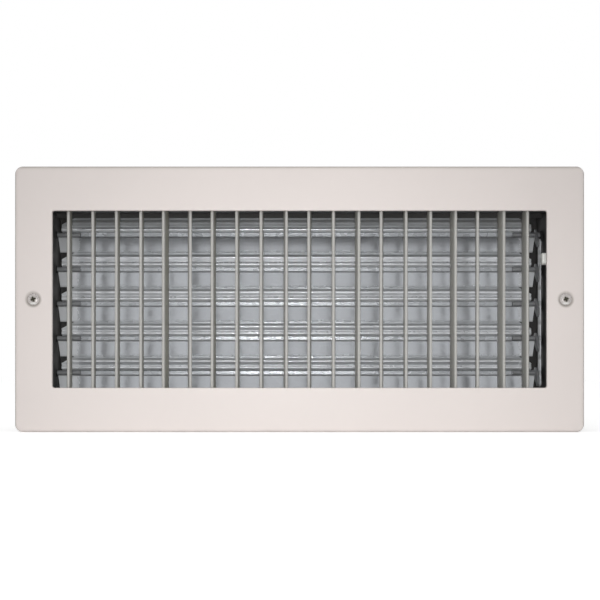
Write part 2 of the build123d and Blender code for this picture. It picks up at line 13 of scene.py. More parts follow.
import bmesh
import bpy
import numpy as np
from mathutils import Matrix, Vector


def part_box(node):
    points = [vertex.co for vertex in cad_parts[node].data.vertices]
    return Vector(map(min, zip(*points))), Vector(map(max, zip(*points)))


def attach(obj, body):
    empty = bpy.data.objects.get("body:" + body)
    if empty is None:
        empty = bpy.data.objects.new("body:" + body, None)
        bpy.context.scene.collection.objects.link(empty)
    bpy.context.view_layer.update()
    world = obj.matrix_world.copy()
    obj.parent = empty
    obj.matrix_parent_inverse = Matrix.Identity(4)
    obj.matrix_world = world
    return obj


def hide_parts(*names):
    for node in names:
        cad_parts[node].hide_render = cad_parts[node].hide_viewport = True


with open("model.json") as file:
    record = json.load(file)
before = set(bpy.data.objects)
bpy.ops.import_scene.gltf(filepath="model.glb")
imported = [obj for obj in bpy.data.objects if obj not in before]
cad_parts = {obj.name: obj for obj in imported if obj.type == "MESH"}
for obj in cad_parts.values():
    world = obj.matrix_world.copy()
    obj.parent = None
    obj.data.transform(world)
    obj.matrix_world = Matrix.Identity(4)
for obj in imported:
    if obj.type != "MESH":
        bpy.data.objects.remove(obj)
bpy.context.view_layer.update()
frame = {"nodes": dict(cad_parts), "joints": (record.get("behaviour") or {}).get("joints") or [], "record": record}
nodes = frame["nodes"]
for plain_material in list(bpy.data.materials):
    bpy.data.materials.remove(plain_material)

# %% [markdown]
# Sizes that more than one cell needs are read from the frame instead of being typed again. The face
# plate's box gives its outline and the height of the floor, and the screws' box gives where the screws
# stand. A millimetre is written as MM, so that the lengths below read as a maker would say them.

# %% Read the main sizes
MM = 0.001
SCREW_HEAD_RADIUS = 4.75 * MM

face_low, face_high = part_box("face_plate")
screw_low, screw_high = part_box("fixing_screws")
screw_x = screw_high.x - SCREW_HEAD_RADIUS
print("face", [round(v / MM, 1) for v in face_high - face_low], "mm, screws at x =", round(screw_x / MM, 2))

# %% [markdown]
# The camera stands a metre in front of the plate, a little left of its middle and a little low, and it
# looks straight at the wall, so upright edges stay upright. The plate could be brought into the middle of
# the picture by turning the camera or by shifting the lens. The shift is used, because a turned camera
# would make the plate's sides lean. The picture is square, and its 600 pixels cover 474 mm at the plate.

# %% Camera
IMAGE_PIXELS = 600
MM_PER_PIXEL = 0.79
CAMERA_PLACE = Vector((-14, -1006, -50)) * MM
PLATE_MIDDLE_PIXEL = (299.6, 299.2)
SENSOR_WIDTH = 36.0

distance = face_low.y - CAMERA_PLACE.y
frame_width = IMAGE_PIXELS * MM_PER_PIXEL * MM
camera_data = bpy.data.cameras.new("photo_camera")
camera_data.sensor_width = SENSOR_WIDTH
camera_data.lens = SENSOR_WIDTH * distance / frame_width
half_image = IMAGE_PIXELS / 2
camera_data.shift_x = (half_image - PLATE_MIDDLE_PIXEL[0]) / IMAGE_PIXELS - CAMERA_PLACE.x / frame_width
camera_data.shift_y = (PLATE_MIDDLE_PIXEL[1] - half_image) / IMAGE_PIXELS - CAMERA_PLACE.z / frame_width
camera = bpy.data.objects.new("photo_camera", camera_data)
camera.location = CAMERA_PLACE
camera.rotation_euler = (math.radians(90), 0, 0)
bpy.context.scene.collection.objects.link(camera)
bpy.context.scene.camera = camera
print("lens", round(camera_data.lens, 2), "mm, shift", round(camera_data.shift_x, 4),
      round(camera_data.shift_y, 4))

# %% [markdown]
# Each finish below is a small tree of shader nodes. Written out in full, such a tree is long and hard to
# read, so short helpers place a node, feed a socket and do arithmetic. A value given to a helper may be a
# plain number or the output of another node.

# %% Node helpers
def put(tree, kind, settings=None, **inputs):
    """Adds one node to a tree. settings are its own properties; inputs are its sockets, by name."""
    node = tree.nodes.new(kind)
    for name, value in (settings or {}).items():
        setattr(node, name, value)
    for name, value in inputs.items():
        feed(tree, node.inputs[name.replace("_", " ")], value)
    return node


def feed(tree, socket, value):
    """Links an output to a socket, or sets the socket to a plain value."""
    if isinstance(value, bpy.types.NodeSocket):
        tree.links.new(value, socket)
    else:
        socket.default_value = value


def calculate(tree, operation, *values, clamp=False):
    """One arithmetic node on up to three values, which are numbers or outputs."""
    node = tree.nodes.new("ShaderNodeMath")
    node.operation = operation
    node.use_clamp = clamp
    for socket, value in zip(node.inputs, values):
        feed(tree, socket, value)
    return node.outputs[0]


def strongest(tree, first, *others):
    """The largest of several masks at each point."""
    for other in others:
        first = calculate(tree, "MAXIMUM", first, other)
    return first


# %% [markdown]
# Two more kinds of helper say where a point is and what pattern lies there. Every pattern reads Object
# coordinates: they are metres in the part's own frame, so they are the same in each piece, and a pattern
# runs on from one sheet to the next and stays on a blade that turns.

# %% Place and pattern helpers
def object_place(tree):
    """The point's place in the part's own frame, in metres."""
    return put(tree, "ShaderNodeTexCoord").outputs["Object"]


def object_normal(tree):
    """The way the surface faces at the point, in the part's own frame."""
    return put(tree, "ShaderNodeTexCoord").outputs["Normal"]


def split(tree, vector):
    """The X, Y and Z of a vector, as outputs by name."""
    return put(tree, "ShaderNodeSeparateXYZ", Vector=vector).outputs


def stretch(tree, value, low, high, to_low=0.0, to_high=1.0):
    """Maps low..high onto to_low..to_high with a smooth start and end, and holds the ends outside it."""
    node = put(tree, "ShaderNodeMapRange", {"interpolation_type": "SMOOTHSTEP"})
    for socket, number in zip(node.inputs, (value, low, high, to_low, to_high)):
        feed(tree, socket, number)
    return node.outputs[0]


def noise(tree, place, scale, detail=2.0, roughness=0.5):
    """Cloudy noise from 0 to 1 at a place; scale counts its lumps per metre."""
    node = put(tree, "ShaderNodeTexNoise", Vector=place, Scale=scale, Detail=detail, Roughness=roughness)
    return node.outputs[0]


def squeeze(tree, place, factors):
    """Multiplies a place's X, Y and Z, so that a pattern is drawn out along the smallest factor."""
    node = put(tree, "ShaderNodeVectorMath", {"operation": "MULTIPLY"})
    feed(tree, node.inputs[0], place)
    node.inputs[1].default_value = factors
    return node.outputs[0]


# %% [markdown]
# Colours are mixed with one node. Blender's Mix node has sockets for numbers, vectors and colours under
# the same names, so the colour ones are picked by their number.

# %% Colour helpers
MIX_SHARE, MIX_FIRST, MIX_SECOND, MIX_RESULT = 0, 6, 7, 2


def blend_colours(tree, share, first, second, mode="MIX"):
    """Goes from the first colour to the second as share goes from 0 to 1."""
    node = tree.nodes.new("ShaderNodeMix")
    node.data_type = "RGBA"
    node.blend_type = mode
    feed(tree, node.inputs[MIX_SHARE], share)
    feed(tree, node.inputs[MIX_FIRST], first)
    feed(tree, node.inputs[MIX_SECOND], second)
    return node.outputs[MIX_RESULT]


def dim(tree, colour, factor):
    """A colour times one number, which darkens or lightens it without changing its hue."""
    grey = put(tree, "ShaderNodeCombineColor", Red=factor, Green=factor, Blue=factor).outputs[0]
    return blend_colours(tree, 1.0, colour, grey, "MULTIPLY")


# %% [markdown]
# Several finishes share an effect: paint has a fine skin, dust settles on whatever faces up, and rolled
# metal has a grain. Each such effect is a node group, built once and placed in every material that needs
# it, with its own numbers there. A group gives out colours, values and normals only. The shader stays in
# the material, because an exported model has to find it there.

# %% Group helpers
FLOAT, COLOUR, VECTOR = "NodeSocketFloat", "NodeSocketColor", "NodeSocketVector"


def start_group(name, inputs, outputs):
    """An empty shader group. inputs are (name, kind, value) and outputs (name, kind)."""
    tree = bpy.data.node_groups.new(name, "ShaderNodeTree")
    for label, kind, value in inputs:
        socket = tree.interface.new_socket(label, in_out="INPUT", socket_type=kind)
        socket.default_value = value
    for label, kind in outputs:
        tree.interface.new_socket(label, in_out="OUTPUT", socket_type=kind)
    return tree, tree.nodes.new("NodeGroupInput").outputs, tree.nodes.new("NodeGroupOutput").inputs


def use_group(tree, group, **inputs):
    """Places a group in a material and returns its outputs."""
    return put(tree, "ShaderNodeGroup", {"node_tree": group}, **inputs).outputs


# %% [markdown]
# Sprayed and baked paint isn't flat. It dries with a skin of low bumps about a millimetre across, which
# makers call orange peel, and its colour drifts by a percent or two over a hand's width. Both are noise,
# at two scales. The bumps could be real geometry, but they are a few microns deep, so a bump normal does
# the same at no cost.

# %% Paint skin group
CLOUDS_PER_METRE = 14.0
CLOUD_GLOSS = 0.12
FINE_RELIEF = 0.05 * MM

paint_skin, given, result = start_group(
    "paint skin",
    [("Colour", COLOUR, (0.8, 0.8, 0.8, 1)), ("Drift", FLOAT, 0.04), ("Peel Size", FLOAT, 1.2 * MM),
     ("Peel Depth", FLOAT, 0.2), ("Roughness", FLOAT, 0.4)],
    [("Colour", COLOUR), ("Roughness", FLOAT), ("Normal", VECTOR)],
)
place = object_place(paint_skin)
clouds = calculate(paint_skin, "SUBTRACT", noise(paint_skin, place, CLOUDS_PER_METRE, 3.0), 0.5)
shade = calculate(paint_skin, "MULTIPLY_ADD", clouds, given["Drift"], 1.0)
feed(paint_skin, result["Colour"], dim(paint_skin, given["Colour"], shade))
peel_scale = calculate(paint_skin, "DIVIDE", 1.0, given["Peel Size"])
peel = noise(paint_skin, place, peel_scale, 1.5)
bump = put(paint_skin, "ShaderNodeBump", Height=peel, Strength=given["Peel Depth"], Distance=FINE_RELIEF)
feed(paint_skin, result["Normal"], bump.outputs[0])
gloss = calculate(paint_skin, "MULTIPLY_ADD", clouds, CLOUD_GLOSS, given["Roughness"], clamp=True)
feed(paint_skin, result["Roughness"], gloss)
print("group:", paint_skin.name)

# %% [markdown]
# Air from a duct leaves fine grey dust on every ledge that faces up, and a thin film elsewhere. It could be
# painted on each piece by hand, but the surface's own normal says it for all of them: where it points up
# the dust is thick, on walls only the film is left. A noise breaks it into drifts. Dust is dull, so the
# mask also raises the roughness.

# %% Dust group
LEDGE_FROM = 0.2
LEDGE_FULL = 0.9
DRIFTS_PER_METRE = 120.0
DRIFT_FROM, DRIFT_FULL, DRIFT_LEAST = 0.3, 0.7, 0.45
DUST_DULLS = 0.4

dust, given, result = start_group(
    "settled dust",
    [("Colour", COLOUR, (0.8, 0.8, 0.8, 1)), ("Dust Colour", COLOUR, (0.4, 0.38, 0.35, 1)),
     ("On Ledges", FLOAT, 0.5), ("Film", FLOAT, 0.1), ("Roughness", FLOAT, 0.5)],
    [("Colour", COLOUR), ("Roughness", FLOAT)],
)
upward = split(dust, object_normal(dust))["Z"]
ledge = calculate(dust, "MULTIPLY", stretch(dust, upward, LEDGE_FROM, LEDGE_FULL), given["On Ledges"])
lumps = noise(dust, object_place(dust), DRIFTS_PER_METRE, 4.0, 0.6)
drifts = stretch(dust, lumps, DRIFT_FROM, DRIFT_FULL, DRIFT_LEAST, 1.0)
mask = calculate(dust, "MULTIPLY", calculate(dust, "ADD", ledge, given["Film"]), drifts, clamp=True)
feed(dust, result["Colour"], blend_colours(dust, mask, given["Colour"], given["Dust Colour"]))
dulled = calculate(dust, "MULTIPLY_ADD", mask, DUST_DULLS, given["Roughness"], clamp=True)
feed(dust, result["Roughness"], dulled)
print("group:", dust.name)

# %% [markdown]
# Zinc freezes on hot-dipped sheet in crystals a few millimetres across, each with its own tilt and
# shade, and the rolls leave faint lines along the sheet. An image of such sheet would repeat, so a texture
# of cells gives the crystals instead: every cell has one random value, which sets its brightness and its
# roughness. A slow noise bends the cells' straight sides, and a noise drawn out along X gives the roll
# lines.

# %% Zinc crystal group
BENDS_PER_METRE = 260.0
BEND_REACH = 3.0 * MM
ROLL_LINES = (6.0, 900.0, 900.0)
LINE_CONTRAST = 0.8
LINE_RELIEF = 0.6
CRYSTAL_GLOSS = 0.8

crystals, given, result = start_group(
    "zinc crystals",
    [("Colour", COLOUR, (0.5, 0.5, 0.5, 1)), ("Crystal Size", FLOAT, 4.0 * MM), ("Contrast", FLOAT, 0.15),
     ("Roughness", FLOAT, 0.35), ("Relief", FLOAT, 0.1)],
    [("Colour", COLOUR), ("Roughness", FLOAT), ("Normal", VECTOR)],
)
place = object_place(crystals)
bent = put(crystals, "ShaderNodeTexNoise", Vector=place, Scale=BENDS_PER_METRE, Detail=2.0)
wander = put(crystals, "ShaderNodeVectorMath", {"operation": "MULTIPLY_ADD"})
feed(crystals, wander.inputs[0], bent.outputs["Color"])
feed(crystals, wander.inputs[1], (BEND_REACH,) * 3)
feed(crystals, wander.inputs[2], place)
cell_scale = calculate(crystals, "DIVIDE", 1.0, given["Crystal Size"])
cells = put(crystals, "ShaderNodeTexVoronoi", Vector=wander.outputs[0], Scale=cell_scale)
cell_value = put(crystals, "ShaderNodeSeparateColor", Color=cells.outputs["Color"]).outputs["Red"]
tilt = calculate(crystals, "SUBTRACT", cell_value, 0.5)
roll_lines = noise(crystals, squeeze(crystals, place, ROLL_LINES), 1.0, 3.0)
lines = calculate(crystals, "SUBTRACT", roll_lines, 0.5)
swing = calculate(crystals, "MULTIPLY_ADD", lines, LINE_CONTRAST, tilt)
swing = calculate(crystals, "MULTIPLY", swing, given["Contrast"])
shade = calculate(crystals, "ADD", swing, 1.0)
feed(crystals, result["Colour"], dim(crystals, given["Colour"], shade))
gloss = calculate(crystals, "MULTIPLY_ADD", swing, CRYSTAL_GLOSS, given["Roughness"], clamp=True)
feed(crystals, result["Roughness"], gloss)
height = calculate(crystals, "MULTIPLY_ADD", roll_lines, LINE_RELIEF, cell_value)
bump = put(crystals, "ShaderNodeBump", Height=height, Strength=given["Relief"], Distance=FINE_RELIEF)
feed(crystals, result["Normal"], bump.outputs[0])
print("group:", crystals.name)

# %% [markdown]
# Shade is painted on the damper blades in grooves, under laps and behind ridges, and light on some of
# their faces. Nothing in a plain material knows where those are, but the damper blades are alike and stand
# at one pitch, so a point's height above its own blade's pivot follows from its Z: measure from the lowest
# blade's lip, keep the remainder after whole pitches, and take off the lip's distance from the pivot. The
# group gives that height and the depth behind the pivots' plane, in metres, and each finish then says
# where its ridges, painted light and painted shade lie.

# %% Damper section group
DAMPERS = 5
LIP_BELOW_PIVOT = 15.5 * MM

pivots = {j["name"]: Vector(j["pos_m"]) for j in frame["joints"]}
lowest_pivot = pivots[f"damper_{DAMPERS}_turn"]
damper_pitch = pivots[f"damper_{DAMPERS - 1}_turn"].z - lowest_pivot.z
section_place, given, result = start_group("damper section", [], [("Height", FLOAT), ("Depth", FLOAT)])
parts = split(section_place, object_place(section_place))
above_lip = calculate(section_place, "ADD", parts["Z"], LIP_BELOW_PIVOT - lowest_pivot.z)
within = calculate(section_place, "FLOORED_MODULO", above_lip, damper_pitch)
feed(section_place, result["Height"], calculate(section_place, "SUBTRACT", within, LIP_BELOW_PIVOT))
feed(section_place, result["Depth"], calculate(section_place, "SUBTRACT", parts["Y"], lowest_pivot.y))
print("group:", section_place.name, "pitch", round(damper_pitch / MM, 2), "mm")

# %% [markdown]
# A material starts from one shader. The plain numbers that are the same all over a finish, such as
# the weight of its clear coat, are set on the shader itself. Only what changes over the surface is linked.

# %% Start a material
def start_material(name, **constants):
    """A material with a Principled shader whose constant sockets are set by name. Returns the material,
    its tree and its shader."""
    material = bpy.data.materials.new(name)
    material.use_nodes = True
    tree = material.node_tree
    shader = tree.nodes["Principled BSDF"]
    for label, value in constants.items():
        shader.inputs[label.replace("_", " ")].default_value = value
    return material, tree, shader


def link_finish(tree, shader, **outputs):
    """Links outputs to the shader's sockets by name."""
    for label, output in outputs.items():
        tree.links.new(output, shader.inputs[label.replace("_", " ")])


# %% [markdown]
# Some marks follow a form: a line along the plate's edge, dirt round a screw, a stripe along a ridge. How
# near a point is to such a form could be painted by hand, but it can be worked out from the point's place
# alone. The plate is a rectangle, so the distance to its outer edge is the smaller of half the width
# less |x| and half the height less |z|. The screws stand alike to the left and the right of the middle.

# %% Distance and band helpers
def edge_distance(tree, parts, half_width, half_height):
    """Distance from the outline of a rectangle centred on the origin in X and Z, positive inside it."""
    across = calculate(tree, "SUBTRACT", half_width, calculate(tree, "ABSOLUTE", parts["X"]))
    up = calculate(tree, "SUBTRACT", half_height, calculate(tree, "ABSOLUTE", parts["Z"]))
    return calculate(tree, "MINIMUM", across, up)


def beside_screw(tree, parts):
    """How far a point lies outwards from the nearer screw's axis: |x| less the screw's x."""
    return calculate(tree, "SUBTRACT", calculate(tree, "ABSOLUTE", parts["X"]), screw_x)


def screw_distance(tree, parts):
    """Distance from the nearer screw's axis: the root of (|x| - screw x) squared plus z squared."""
    across = beside_screw(tree, parts)
    up_square = calculate(tree, "MULTIPLY", parts["Z"], parts["Z"])
    return calculate(tree, "SQRT", calculate(tree, "MULTIPLY_ADD", across, across, up_square))


def band(tree, value, low, high, edge):
    """1 between low and high, 0 outside, with a smooth step of the given width inside each end."""
    rise = stretch(tree, value, low, low + edge)
    fall = stretch(tree, value, high - edge, high, 1.0, 0.0)
    return calculate(tree, "MULTIPLY", rise, fall)


# %% [markdown]
# The face plate is off-white, a little pink, semi-gloss stoved paint. Handling and cleaning leave its
# outer edge slightly greyer than the flat. Shade is painted along the top edge, and a thin line of painted
# shade follows the sides, where the plate meets the wall, and fades out at the lower corners. Shade is also
# painted in the dimples round the screws, darker towards the bottom. The masks could each tint the paint in
# turn, but only the strongest one counts at a point, so that the grime and the painted shade aren't
# doubled where two of them meet.

# %% Face paint
FACE_COLOUR = (0.660, 0.605, 0.580, 1)
# The next colour serves both the edge grime and the painted shade along the edges and in the dimples.
FACE_GRIME_AND_SHADE = (0.23, 0.205, 0.18, 1)
FACE_DUST = (0.42, 0.40, 0.37, 1)
SMUDGES_PER_METRE = 60.0
EDGE_BAND, EDGE_SHARE = 3.5 * MM, 0.35
SIDE_LINE_FROM, SIDE_LINE, SIDE_SHARE = 0.4 * MM, 1.2 * MM, 0.8
TOP_LINE, TOP_SHARE = 3.2 * MM, 0.45
DIMPLE_INNER, DIMPLE_OUTER, DIMPLE_SHARE = 5.0 * MM, 7.3 * MM, 0.9
DIMPLE_TOP_SHARE = 0.4

face_paint, tree, shader = start_material("face_paint", IOR=1.5, Coat_Weight=0.12, Coat_Roughness=0.25)
skin = use_group(tree, paint_skin, Colour=FACE_COLOUR, Drift=0.05, Peel_Size=1.1 * MM, Peel_Depth=0.35,
                 Roughness=0.42)
place = object_place(tree)
parts = split(tree, place)
rim = edge_distance(tree, parts, face_high.x, face_high.z)
smudge = noise(tree, place, SMUDGES_PER_METRE, 4.0, 0.6)
rim_grime = calculate(tree, "MULTIPLY", stretch(tree, rim, 0.0, EDGE_BAND, EDGE_SHARE, 0.0), smudge)
# Painted shade of the plate's rounded edge: a thin line along the sides that fades out at the lower corners, and a
# band along the top.
side_line = stretch(tree, rim, SIDE_LINE_FROM, SIDE_LINE, SIDE_SHARE, 0.0)
off_bottom = stretch(tree, parts["Z"], face_low.z + SIDE_LINE, face_low.z + EDGE_BAND)
side_line = calculate(tree, "MULTIPLY", side_line, off_bottom)
top_line = stretch(tree, parts["Z"], face_high.z - TOP_LINE, face_high.z, 0.0, TOP_SHARE)
# Painted shade in the dimples round the screws, darker towards the bottom.
dimple = stretch(tree, screw_distance(tree, parts), DIMPLE_INNER, DIMPLE_OUTER, DIMPLE_SHARE, 0.0)
settled = stretch(tree, parts["Z"], -DIMPLE_OUTER, DIMPLE_OUTER, 1.0, DIMPLE_TOP_SHARE)
dimple = calculate(tree, "MULTIPLY", dimple, settled)
grime_and_shade = strongest(tree, rim_grime, side_line, top_line, dimple)
grimy_and_shaded = blend_colours(tree, grime_and_shade, skin["Colour"], FACE_GRIME_AND_SHADE)
dusty = use_group(tree, dust, Colour=grimy_and_shaded, Dust_Colour=FACE_DUST, On_Ledges=0.35, Film=0.02,
                  Roughness=skin["Roughness"])
link_finish(tree, shader, Base_Color=dusty["Colour"], Roughness=dusty["Roughness"], Normal=skin["Normal"])
print("material:", face_paint.name)

# %% [markdown]
# The blades carry the same paint. Their noses are clean and light, and from a few millimetres back they
# are a dull olive grey, partly a stain from the air stream and partly painted shade: the tint is strongest
# on the right-hand sides, which face away from the light. It is a function of how far behind the nose a
# point lies, roughened by streaks that run up and down the blade, and of the X part of the surface's
# normal, which leaves the left-hand sides lighter. Each blade could have an image of its own tint instead,
# but one rule serves all twenty, and they still differ, because the streaks read each blade's own place.

# %% Blade paint
BLADE_NOSE_COLOUR = (0.392, 0.387, 0.368, 1)
# The side colour is partly a stain and partly painted shade.
BLADE_SIDE_COLOUR = (0.330, 0.320, 0.270, 1)
CLEAN_NOSE, STAINED_FROM = 1.0 * MM, 4.0 * MM
STREAKS = (500.0, 500.0, 18.0)
STREAK_REACH = 3.0 * MM
LEFT_SHARE = 0.35
SIDE_FROM, SIDE_FULL = -0.2, 0.3
blade_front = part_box("front_blade_03")[0].y

blade_paint, tree, shader = start_material("blade_paint", IOR=1.5, Coat_Weight=0.08, Coat_Roughness=0.3)
place = object_place(tree)
behind_nose = calculate(tree, "SUBTRACT", split(tree, place)["Y"], blade_front)
streaks = noise(tree, squeeze(tree, place, STREAKS), 1.0, 3.0)
streaks = calculate(tree, "SUBTRACT", streaks, 0.5)
ragged = calculate(tree, "MULTIPLY_ADD", streaks, STREAK_REACH, behind_nose)
# Painted shade: the tint is strongest on the right-hand sides, away from the light.
rightward = split(tree, object_normal(tree))["X"]
side_share = stretch(tree, rightward, SIDE_FROM, SIDE_FULL, LEFT_SHARE, 1.0)
stain_and_shade = calculate(tree, "MULTIPLY", stretch(tree, ragged, CLEAN_NOSE, STAINED_FROM), side_share)
stained_and_shaded = blend_colours(tree, stain_and_shade, BLADE_NOSE_COLOUR, BLADE_SIDE_COLOUR)
skin = use_group(tree, paint_skin, Colour=stained_and_shaded, Drift=0.12, Peel_Size=0.9 * MM, Peel_Depth=0.3,
                 Roughness=0.45)
link_finish(tree, shader, Base_Color=skin["Colour"], Roughness=skin["Roughness"], Normal=skin["Normal"])
print("material:", blade_paint.name, "from y =", round(blade_front / MM, 2), "mm")

# %% [markdown]
# The damper blades are hot-dip galvanised strip that was rolled to shape. Light is painted along their
# section: the two ridges are painted brighter, and the face that overhangs the pivot groove is painted pale
# and dull, and so are the blades' ends, beside the neck's walls. An image with stripes could be laid on each
# blade. Bands of heights above the blade's pivot need no image and fit all five, and the depth tells a
# ridge, which stands forward, from the flat beside it.

# %% Ridges and painted light of the damper blades
GROOVE_TOP = 2.0 * MM
OVERHANG_TOP = 3.4 * MM
VALLEY = 6.5 * MM
RIDGES_TOP = 11.0 * MM
SHARP_EDGE, SOFT_EDGE = 0.2 * MM, 0.4 * MM
RIDGE_FROM, RIDGE_FULL, RIDGE_LEAST = -1.0 * MM, -2.2 * MM, 0.4
CREST_FULL = -3.1 * MM
OVERHANG_DEPTH = -3.0 * MM
END_FROM, END_FULL, END_SHARE = 16.0 * MM, 6.4 * MM, 0.7
damper_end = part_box("damper_blade_1")[1].x


def ridge_masks(tree, height, depth):
    """Masks of both ridges and of the lower ridge's crest, from a point's height and depth."""
    forward = stretch(tree, depth, RIDGE_FULL, RIDGE_FROM, 1.0, RIDGE_LEAST)
    ridge = calculate(tree, "MULTIPLY", band(tree, height, GROOVE_TOP, RIDGES_TOP, SOFT_EDGE), forward)
    foremost = stretch(tree, depth, CREST_FULL, RIDGE_FULL, 1.0, 0.0)
    crest = calculate(tree, "MULTIPLY", band(tree, height, GROOVE_TOP, VALLEY, SOFT_EDGE), foremost)
    return ridge, crest


def painted_light_mask(tree, height, depth, parts):
    """Mask of the painted light on the overhanging face and on the blades' two ends."""
    inward = stretch(tree, depth, OVERHANG_DEPTH, RIDGE_FULL)
    overhang = band(tree, height, GROOVE_TOP, OVERHANG_TOP, SHARP_EDGE)
    overhang = calculate(tree, "MULTIPLY", overhang, inward)
    from_middle = calculate(tree, "ABSOLUTE", parts["X"])
    ends = stretch(tree, from_middle, damper_end - END_FROM, damper_end - END_FULL, 0.0, END_SHARE)
    return strongest(tree, overhang, ends)


print("damper blades end at x =", round(damper_end / MM, 1), "mm")

# %% [markdown]
# Shade is painted in the pivot groove, under each lap, where one blade's lip hangs over the next blade's
# upper edge, and along each blade's lower lip. The top blade's upper edge is painted darkest, a painted
# shade below the window's top edge. A noise that is drawn out along the blade makes all of it patchy. The
# shade could also be laid wherever a point is hemmed in by other surfaces, but then it would come and go
# as the blades turn.

# %% Painted shade of the damper blades
GROOVE_SHARE = 0.28
LAP_FROM, LAP_FULL, LAP_SHARE = 10.0 * MM, 12.4 * MM, 0.45
LIP_FROM, LIP_FULL, LIP_SHARE = -12.6 * MM, -15.2 * MM, 0.35
TOP_BLADE_SHADE_FROM, TOP_BLADE_SHADE_FULL, TOP_BLADE_SHADE_SHARE = 5.0 * MM, 7.5 * MM, 0.8
SHADE_PATCHES = (40.0, 120.0, 120.0)
PATCH_FROM, PATCH_FULL = 0.2, 0.8
PATCH_LEAST, PATCH_MOST = 0.8, 1.15
top_pivot = pivots["damper_1_turn"]


def shade_mask(tree, height, parts, place):
    """Mask of the painted shade in groove, lap, lip and on the top blade's upper edge, the strongest of them at
    each point, made patchy by noise.
    """
    # Painted shade in the groove, under the lap, along the lip and on the top blade's upper edge.
    groove = band(tree, height, -GROOVE_TOP, GROOVE_TOP, SHARP_EDGE)
    groove = calculate(tree, "MULTIPLY", groove, GROOVE_SHARE)
    lap = stretch(tree, height, LAP_FROM, LAP_FULL, 0.0, LAP_SHARE)
    lip = stretch(tree, height, LIP_FULL, LIP_FROM, LIP_SHARE, 0.0)
    top_blade_shade = stretch(tree, parts["Z"], top_pivot.z + TOP_BLADE_SHADE_FROM, top_pivot.z + TOP_BLADE_SHADE_FULL, 0.0, TOP_BLADE_SHADE_SHARE)
    lumps = noise(tree, squeeze(tree, place, SHADE_PATCHES), 1.0, 3.0)
    patches = stretch(tree, lumps, PATCH_FROM, PATCH_FULL, PATCH_LEAST, PATCH_MOST)
    return calculate(tree, "MULTIPLY", strongest(tree, groove, lap, lip, top_blade_shade), patches, clamp=True)


print("soot from z =", round((top_pivot.z + TOP_BLADE_SHADE_FROM) / MM, 1), "mm")

# %% [markdown]
# Years of air have turned the bright zinc into a dull bluish grey: the surface is still metal, but a thin
# dry film lies on it, so it is only partly metallic. The masks above now change the colour, the shine and
# the roughness together: the painted shade darkens and the painted light lightens, and both make the sheet
# less metallic and rougher. The ridges are painted lighter than the flats but are less like a mirror, which
# keeps their fine lines soft. Only the lower ridge's crest is worn down to smooth bare metal, and it alone
# glints.

# %% Galvanised sheet
ZINC_COLOUR = (0.440, 0.458, 0.484, 1)
# The next three colours are painted: light on the ridges, light on the overhang and the ends, and shade.
ZINC_RIDGE_LIGHT = (0.640, 0.660, 0.690, 1)
ZINC_PAINTED_LIGHT = (0.740, 0.755, 0.770, 1)
ZINC_PAINTED_SHADE = (0.150, 0.155, 0.160, 1)
ZINC_DUST = (0.30, 0.29, 0.27, 1)
METAL_SHARE, RIDGE_SHINE, CREST_SHINE, PAINTED_MARK_SHINE = 0.70, -0.22, 0.35, -0.6
PAINTED_MARK_DULLS, CREST_SMOOTHS = 0.25, -0.06

galvanised, tree, shader = start_material("galvanised_sheet", IOR=1.5)
metal = use_group(tree, crystals, Colour=ZINC_COLOUR, Crystal_Size=6.0 * MM, Contrast=0.09, Roughness=0.21,
                  Relief=0.02)
section = use_group(tree, section_place)
place = object_place(tree)
parts = split(tree, place)
ridge, crest = ridge_masks(tree, section["Height"], section["Depth"])
painted_light = painted_light_mask(tree, section["Height"], section["Depth"], parts)
painted_shade = shade_mask(tree, section["Height"], parts, place)
# Painted light: the ridges are painted lighter, and the overhanging face and the blades' ends are painted pale.
ridge_lit = blend_colours(tree, ridge, metal["Colour"], ZINC_RIDGE_LIGHT)
painted_lit = blend_colours(tree, painted_light, ridge_lit, ZINC_PAINTED_LIGHT)
# Painted shade in the groove, under the laps, along the lips and on the top blade's upper edge.
shaded = blend_colours(tree, painted_shade, painted_lit, ZINC_PAINTED_SHADE)
dusty = use_group(tree, dust, Colour=shaded, Dust_Colour=ZINC_DUST, On_Ledges=0.6, Film=0.03,
                  Roughness=metal["Roughness"])
# Both the painted light and the painted shade make the sheet less metallic and rougher.
painted_marks = strongest(tree, painted_shade, painted_light)
shine = calculate(tree, "MULTIPLY_ADD", ridge, RIDGE_SHINE, METAL_SHARE)
shine = calculate(tree, "MULTIPLY_ADD", crest, CREST_SHINE, shine)
shine = calculate(tree, "MULTIPLY_ADD", painted_marks, PAINTED_MARK_SHINE, shine, clamp=True)
roughness = calculate(tree, "MULTIPLY_ADD", painted_marks, PAINTED_MARK_DULLS, dusty["Roughness"])
roughness = calculate(tree, "MULTIPLY_ADD", crest, CREST_SMOOTHS, roughness, clamp=True)
link_finish(tree, shader, Base_Color=dusty["Colour"], Roughness=roughness, Metallic=shine,
            Normal=metal["Normal"])
print("material:", galvanised.name)

# %% [markdown]
# The neck and the blade rails are sprayed matt black inside and out, so that the eye doesn't find them
# behind the blades. The coat is thin and dries with a grainy texture, which is the paint skin again with
# smaller and deeper bumps. Dust shows on black more than on anything else.

# %% Black neck paint
NECK_COLOUR = (0.034, 0.033, 0.032, 1)
NECK_DUST = (0.16, 0.155, 0.145, 1)

neck_black, tree, shader = start_material("neck_black", IOR=1.45)
skin = use_group(tree, paint_skin, Colour=NECK_COLOUR, Drift=0.5, Peel_Size=0.6 * MM, Peel_Depth=0.5,
                 Roughness=0.55)
dusty = use_group(tree, dust, Colour=skin["Colour"], Dust_Colour=NECK_DUST, On_Ledges=0.45, Film=0.03,
                  Roughness=skin["Roughness"])
link_finish(tree, shader, Base_Color=dusty["Colour"], Roughness=dusty["Roughness"], Normal=skin["Normal"])
print("material:", neck_black.name)

